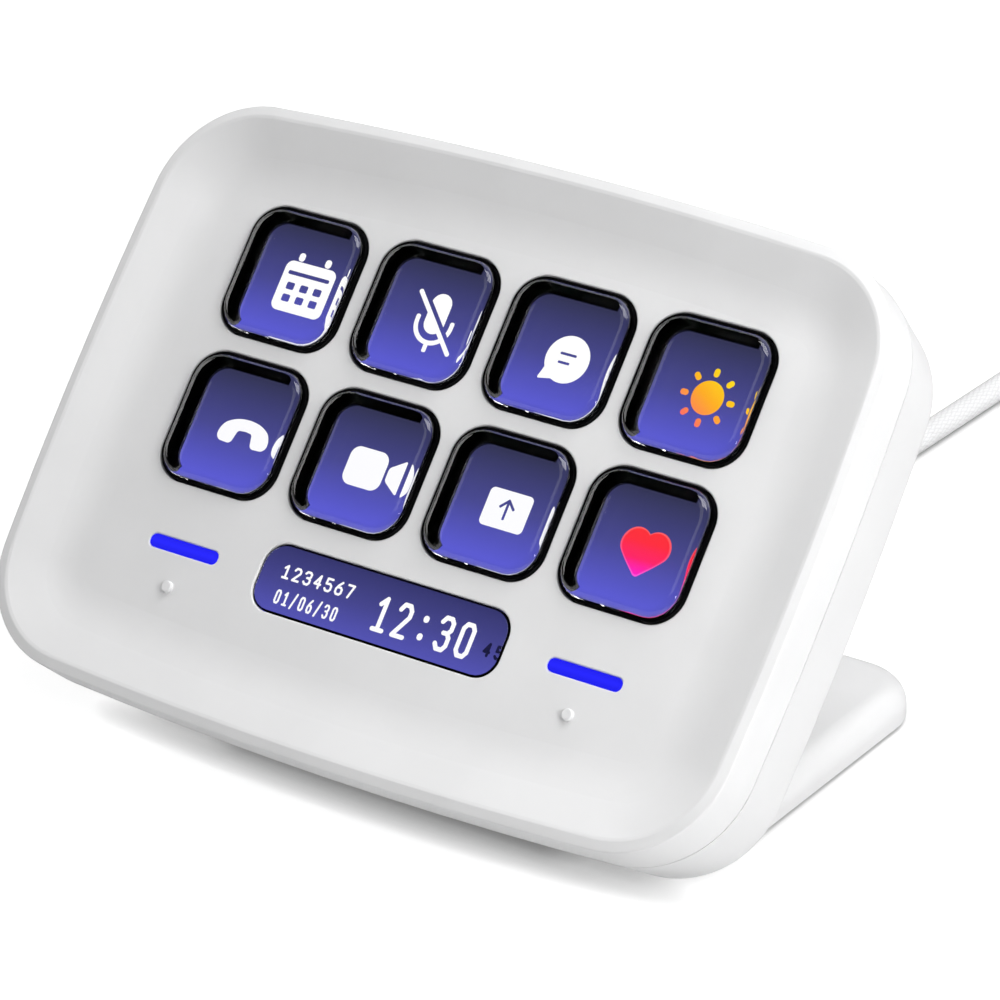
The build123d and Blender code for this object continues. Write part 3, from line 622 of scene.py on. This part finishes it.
def add_outline(shape, points, corners, near, far, corner_steps=6):
    """Adds a closed flat block; corners holds the radius for each point, or one for all."""
    if isinstance(corners, float):
        corners = [corners] * len(points)
    verts = [shape.verts.new((u, v, -far)) for u, v in points]
    faces_before = set(shape.faces)
    shape.faces.new(verts)
    for radius in sorted(set(corners) - {0.0}):
        rounded = [vert for vert, corner in zip(verts, corners) if corner == radius]
        bmesh.ops.bevel(shape, geom=rounded, offset=radius, offset_type="OFFSET", segments=corner_steps,
                        profile=0.5, affect="VERTICES", material=-1)
    thicken(shape, [face for face in shape.faces if face not in faces_before], near, far)


def add_bar(shape, width, height, corner, near, far, x=0.0, y=0.0, turn=0.0):
    """Adds a block with a rounded-rectangle front, turned about its own centre."""
    cos, sin = math.cos(turn), math.sin(turn)
    half_x, half_y = width / 2, height / 2
    square = [(-half_x, -half_y), (half_x, -half_y), (half_x, half_y), (-half_x, half_y)]
    points = [(x + u * cos - v * sin, y + u * sin + v * cos) for u, v in square]
    add_outline(shape, points, corner, near, far)


def add_disc(shape, radius, near, far, x=0.0, y=0.0, steps=48):
    made = bmesh.ops.create_circle(shape, cap_ends=True, radius=radius, segments=steps,
                                   matrix=Matrix.Translation((x, y, -far)))
    thicken(shape, list({face for vert in made["verts"] for face in vert.link_faces}), near, far)


def add_arc(shape, radius, width, start, end, near, far, x=0.0, y=0.0, steps=24):
    """Adds a band along an arc about (x, y), from one angle to another."""
    start_point = Vector((math.cos(start), math.sin(start), 0))
    middle = Vector((x, y, 0))
    section = [
        shape.verts.new(middle + start_point * (radius + side * width / 2) + Vector((0, 0, -depth)))
        for side, depth in ((-1, far), (1, far), (1, near), (-1, near))
    ]
    face = shape.faces.new(section)
    geom = [face] + list(face.edges) + section
    bmesh.ops.spin(shape, geom=geom, cent=middle, axis=(0, 0, 1), angle=end - start, steps=steps)


def edges_at_depth(shape, depth):
    return [edge for edge in shape.edges if all(abs(vert.co.z + depth) < 1e-6 for vert in edge.verts)]


def window_block(width, height, corner, near, far, edge, paint_from, x, y):
    """A clear block with a rounded top edge, painted round its sides from some way below its top."""
    shape = bmesh.new()
    add_bar(shape, width, height, corner, near, far, x, y)
    bmesh.ops.bevel(shape, geom=edges_at_depth(shape, near), offset=edge, offset_type="OFFSET",
                    segments=8, profile=0.5, affect="EDGES", material=-1)
    for face in shape.faces:
        flat = abs(face.normal.z) > 0.99
        if not flat and -face.calc_center_median().z > near + paint_from:
            face.material_index = 1
    return shape


# ---------- pieces on the face ----------

def make_key_caps(looks):
    for number, (x, y) in enumerate(KEY_PLACES, start=1):
        shape = window_block(cap_width, cap_height, cap_corner, cap_top, cap_bottom, cap_edge, cap_edge, x, y)
        piece = finish_piece(f"clear_cap_{number}", shape, [looks["clear_cap"], looks["black_paint"]],
                             f"key_{number}")
        piece.modifiers.new("flat_faces_stay_flat", "WEIGHTED_NORMAL").keep_sharp = True
        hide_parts(f"key_cap_{number}")


def make_bar_window(looks):
    """The bar's window, with room for its lit digits behind it."""
    back = bar_picture_depth - 3 * ink
    shape = window_block(bar_width, bar_height, bar_corner, bar_window_top, back, bar_window_edge,
                         bar_window_paint, 0, bar_y)
    materials = [looks["lens_clear"], looks["black_paint"]]
    piece = finish_piece("bar_window", shape, materials, "housing")
    piece.modifiers.new("flat_faces_stay_flat", "WEIGHTED_NORMAL").keep_sharp = True
    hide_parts("infobar_lens")


def layer(number):
    """The near and far depths of a printed layer over the main picture."""
    return picture_depth - number * ink, picture_depth - (number - 1) * ink


def icon_at(key, name, draw, material, level=1):
    """Draws one icon layer, in millimetres about a key's centre."""
    near, far = layer(level)
    shape = bmesh.new()
    draw(shape, near / mm, far / mm)
    x, y = KEY_PLACES[key - 1]
    to_face = Matrix.Translation((x, y, 0)) @ Matrix.Scale(mm, 4)
    bmesh.ops.transform(shape, matrix=to_face, verts=shape.verts)
    return finish_piece(name, shape, [material], "housing")


def calendar_sheet(shape, near, far):
    add_bar(shape, 7.6, 6.6, 1.0, near, far, 0, -0.4)
    for side in (-1, 1):
        add_bar(shape, 0.9, 1.1, 0.4, near, far, side * 2.0, 3.55)


def calendar_marks(shape, near, far):
    add_bar(shape, 6.2, 0.5, 0.2, near, far, 0, 1.35)
    for row in range(2):
        for column in range(3):
            add_bar(shape, 1.15, 0.95, 0.2, near, far, (column - 1) * 2.05, -0.35 - row * 1.6)


def microphone(shape, near, far):
    add_bar(shape, 2.9, 5.3, 1.44, near, far, 0, 1.15)
    add_arc(shape, 2.5, 0.6, math.pi, math.pi * 2, near, far, 0, -0.15)
    for side in (-1, 1):
        add_bar(shape, 0.6, 1.0, 0.25, near, far, side * 2.5, 0.1)
    add_bar(shape, 0.6, 1.4, 0.2, near, far, 0, -3.2)


def slash(offset, width, length):
    tilt = math.radians(45)

    def draw(shape, near, far):
        x = offset * math.sin(tilt)
        y = offset * math.cos(tilt)
        add_bar(shape, length, width, width / 2 - 0.01, near, far, x, y, -tilt)
    return draw


def bubble(shape, near, far):
    add_disc(shape, 3.03, near, far, -0.17, -0.04)
    add_outline(shape, [(-3.3, -3.15), (-0.9, -2.7), (-2.6, -0.9)], [0.3, 0.0, 0.0], near, far)


def bubble_lines(shape, near, far):
    add_bar(shape, 2.3, 0.32, 0.14, near, far, -0.23, 0.58)
    add_bar(shape, 1.62, 0.32, 0.14, near, far, -0.48, -0.55)


def sun_disc(shape, near, far):
    add_disc(shape, 2.15, near, far)


def sun_rays(shape, near, far):
    rays = 8
    for ray in range(rays):
        angle = 2 * math.pi * ray / rays
        add_bar(shape, 1.1, 0.75, 0.36, near, far, 3.2 * math.cos(angle), 3.2 * math.sin(angle), angle)


def handset(shape, near, far):
    right = [(0, 0.1), (1.05, 0.0), (1.5, -1.85), (3.75, -1.75), (3.85, 0.1), (2.35, 1.3), (0, 1.7)]
    points = right + [(-u, v) for u, v in reversed(right[1:-1])]
    corners = [0.0, 0.3, 0.5, 0.8, 1.0, 1.0, 1.0, 1.0, 1.0, 0.8, 0.5, 0.3]
    add_outline(shape, points, corners, near, far)


def video_camera(shape, near, far):
    add_bar(shape, 5.6, 5.0, 1.3, near, far, -1.3, 0)
    add_outline(shape, [(1.9, -0.85), (4.1, -2.3), (4.1, 2.3), (1.9, 0.85)], 0.35, near, far)


def sharing_board(shape, near, far):
    add_bar(shape, 6.2, 4.85, 0.65, near, far, -0.21, -0.05)


def sharing_arrow(shape, near, far):
    add_bar(shape, 0.34, 2.55, 0.12, near, far, -0.27, -0.03)
    for side in (-1, 1):
        add_bar(shape, 1.63, 0.34, 0.12, near, far, -0.27 + side * 0.46, 0.71, -side * math.pi / 4)


def heart_of(arm):
    def draw(shape, near, far):
        middle, tip_y = -0.35, -0.06 - 0.86 * arm
        half = arm / math.sqrt(2)
        swell = 0.12
        right = [(0.8 * half + swell, 0.8 * half - swell), (1.5 * half, 1.5 * half), (0.5 * half, 2.5 * half)]
        points = [(middle, tip_y)] + [(middle + u, tip_y + v) for u, v in right]
        points += [(middle, tip_y + 2 * half)] + [(middle - u, tip_y + v) for u, v in reversed(right)]
        round_end = 0.499 * arm
        side = 0.25 * arm
        corners = [0.12 * arm, side, round_end, round_end, 0.0, round_end, round_end, side]
        add_outline(shape, points, corners, near, far, 16)
    return draw


def make_icons(looks):
    picture = looks["display_glass"]
    rows = [face_centre.dot(UP) + y for x, y in (KEY_PLACES[0], KEY_PLACES[7])]
    white = glowing("icon_white", WHITE_COLOURS, rows[1], rows[0], white_strength)
    icon_at(1, "icon_calendar", calendar_sheet, white)
    icon_at(1, "icon_calendar_days", calendar_marks, picture, 2)
    icon_at(2, "icon_microphone", microphone, white)
    icon_at(2, "icon_muted_gap", slash(0.55, 0.55, 9.6), picture, 2)
    icon_at(2, "icon_muted_line", slash(0.0, 0.6, 10.2), white, 3)
    icon_at(3, "icon_message", bubble, white)
    icon_at(3, "icon_message_lines", bubble_lines, picture, 2)
    reach = 4.0 * mm
    slant = (UP + RIGHT * 0.6).normalized()
    sun_place = (face_centre + RIGHT * KEY_PLACES[3][0] + UP * KEY_PLACES[3][1]).dot(slant)
    warm = ((1.0, 0.13, 0.12), (1.0, 0.42, 0.02), (1.0, 0.75, 0.01))
    sunny = glowing("icon_sunny", warm, sun_place - reach, sun_place + reach, screen_strength, slant)
    icon_at(4, "icon_sun", sun_disc, sunny)
    icon_at(4, "icon_sun_rays", sun_rays, sunny)
    icon_at(5, "icon_handset", handset, white)
    icon_at(6, "icon_camera", video_camera, white)
    icon_at(7, "icon_sharing_board", sharing_board, white)
    icon_at(7, "icon_sharing_arrow", sharing_arrow, picture, 2)
    reds = ((1.0, 0.018, 0.62), (1.0, 0.020, 0.14), (1.0, 0.028, 0.050), (1.0, 0.035, 0.040))
    pinks = ((1.0, 0.09, 0.72), (1.0, 0.08, 0.28), (1.0, 0.10, 0.14), (1.0, 0.12, 0.12))
    half = 3.2 * mm
    heart_red = glowing("icon_red", reds, rows[1] - half, rows[1] + half, screen_strength)
    heart_rim = glowing("icon_pink", pinks, rows[1] - half, rows[1] + half, screen_strength)
    icon_at(8, "icon_heart_rim", heart_of(3.9), heart_rim)
    icon_at(8, "icon_heart", heart_of(3.62), heart_red, 2)


# Strokes of each sign on a grid two wide and four high
DIGIT_STROKES = {
    "0": [[(0.5, 0), (1.5, 0), (2, 0.6), (2, 3.4), (1.5, 4), (0.5, 4), (0, 3.4), (0, 0.6), (0.5, 0)]],
    "1": [[(0.2, 3.2), (1.1, 4), (1.1, 0)], [(0.2, 0), (2, 0)]],
    "2": [[(0, 3.3), (0.5, 4), (1.5, 4), (2, 3.4), (2, 2.6), (0, 0), (2, 0)]],
    "3": [[(0, 3.4), (0.5, 4), (1.5, 4), (2, 3.5), (2, 2.6), (1.5, 2.1), (0.8, 2.1)],
          [(1.5, 2.1), (2, 1.6), (2, 0.6), (1.5, 0), (0.5, 0), (0, 0.6)]],
    "4": [[(1.5, 0), (1.5, 4), (0, 1.2), (2, 1.2)]],
    "5": [[(1.9, 4), (0.2, 4), (0.1, 2.3), (1.4, 2.4), (2, 1.8), (2, 0.6), (1.5, 0), (0.5, 0), (0, 0.6)]],
    "6": [[(1.6, 4), (0.6, 2.9), (0, 1.7), (0, 0.6), (0.5, 0), (1.5, 0), (2, 0.6), (2, 1.7), (1.5, 2.3),
           (0.4, 2.3)]],
    "7": [[(0, 4), (2, 4), (0.8, 0)]],
    "/": [[(0.1, -0.4), (1.9, 4.4)]],
    ":": [[(1, 0.7), (1, 0.8)], [(1, 3.0), (1, 3.1)]],
}


def bar_digits(name, signs, left, low, height, width, stroke, material):
    """Lit digits over the bar's picture, drawn in round-ended strokes of one width."""
    shape = bmesh.new()
    near, far = bar_picture_depth - ink, bar_picture_depth
    gap = 1.6 * stroke
    pitch = (width + gap) / len(signs)
    across, up = (pitch - gap - stroke) / 2, (height - stroke) / 4
    for number, sign in enumerate(signs):
        start = left + number * pitch + stroke / 2
        thick = 1.35 * stroke if sign == ":" else stroke
        for line in DIGIT_STROKES[sign]:
            spots = [Vector((start + u * across, low + stroke / 2 + v * up)) for u, v in line]
            for one, other in zip(spots, spots[1:]):
                run = other - one
                middle = (one + other) / 2
                add_bar(shape, run.length + thick, thick, 0.49 * thick, near, far, middle.x, middle.y,
                        math.atan2(run.y, run.x))
    return finish_piece(name, shape, [material], "housing")


def make_bar_digits():
    low = face_centre.dot(UP) + bar_y - 3 * mm
    high = low + 6 * mm
    white = glowing("digit_white", WHITE_COLOURS, low, high, white_strength)
    dark = glowing("digit_dark", ((0.010, 0.010, 0.045), (0.014, 0.014, 0.06)), low, high, 1.0)
    bar_digits("bar_clock", "12:30", -0.8 * mm, -21.0 * mm, 4.5 * mm, 14.2 * mm, 0.58 * mm, white)
    bar_digits("bar_days", "1234567", -15.2 * mm, -18.2 * mm, 1.8 * mm, 10.6 * mm, 0.29 * mm, white)
    bar_digits("bar_date", "01/06/30", -14.9 * mm, -21.4 * mm, 1.8 * mm, 9.2 * mm, 0.26 * mm, white)
    bar_digits("bar_seconds", "45", 15.1 * mm, -19.9 * mm, 1.8 * mm, 2.7 * mm, 0.36 * mm, dark)


# ---------- pieces behind ----------

def make_strain_relief(looks):
    """The ribbed, tapered sleeve at the cable's outlet, turned about the cable's axis."""
    start, tip = relief_low.y, relief_high.y
    length = 14.0 * mm
    collar_end = tip - length + 1.5 * mm
    root_radius, collar_radius = 2.6 * mm, 3.5 * mm
    base_radius, tip_radius = 3.0 * mm, 2.1 * mm
    groove = 0.45 * mm
    bevel = 0.3 * mm
    profile = [(start, 0.0), (start, root_radius), (tip - length, root_radius)]
    profile += [(tip - length, collar_radius - bevel), (tip - length + bevel, collar_radius)]
    profile += [(collar_end - bevel, collar_radius), (collar_end, collar_radius - bevel)]
    ribs = 6
    pitch = (tip - collar_end) / ribs
    for rib in range(ribs):
        rib_start = collar_end + rib * pitch
        radius = base_radius + (tip_radius - base_radius) * (rib + 0.5) / ribs
        profile += [(rib_start, radius - groove), (rib_start + 0.35 * pitch, radius - groove)]
        profile += [(rib_start + 0.45 * pitch, radius), (rib_start + 0.9 * pitch, radius)]
    profile += [(tip, tip_radius - 0.2 * mm), (tip, 0.0)]
    shape = bmesh.new()
    verts = [shape.verts.new((0, y, cable_exit.z + radius)) for y, radius in profile]
    edges = [shape.edges.new(pair) for pair in zip(verts, verts[1:])]
    bmesh.ops.spin(shape, geom=verts + edges, cent=(0, 0, cable_exit.z), axis=(0, 1, 0), angle=2 * math.pi,
                   steps=48, use_merge=True)
    bmesh.ops.remove_doubles(shape, verts=shape.verts, dist=1e-7)
    piece = finish_piece("ribbed_relief", shape, [looks["relief_rubber"]], "housing", DESK)
    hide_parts("strain_relief")


# ---------- the whole ----------

GROUPS = {
    "grain": make_grain_group(),
    "brushed": make_brushed_group(),
    "weave": make_weave_group(),
    "tracks": make_tracks_group(),
}
looks = make_looks()
make_camera()
make_cable(looks["cable_braid"])
make_floor()
make_lights()
make_key_caps(looks)
make_bar_window(looks)
make_icons(looks)
make_bar_digits()
make_strain_relief(looks)

bpy.context.view_layer.update()
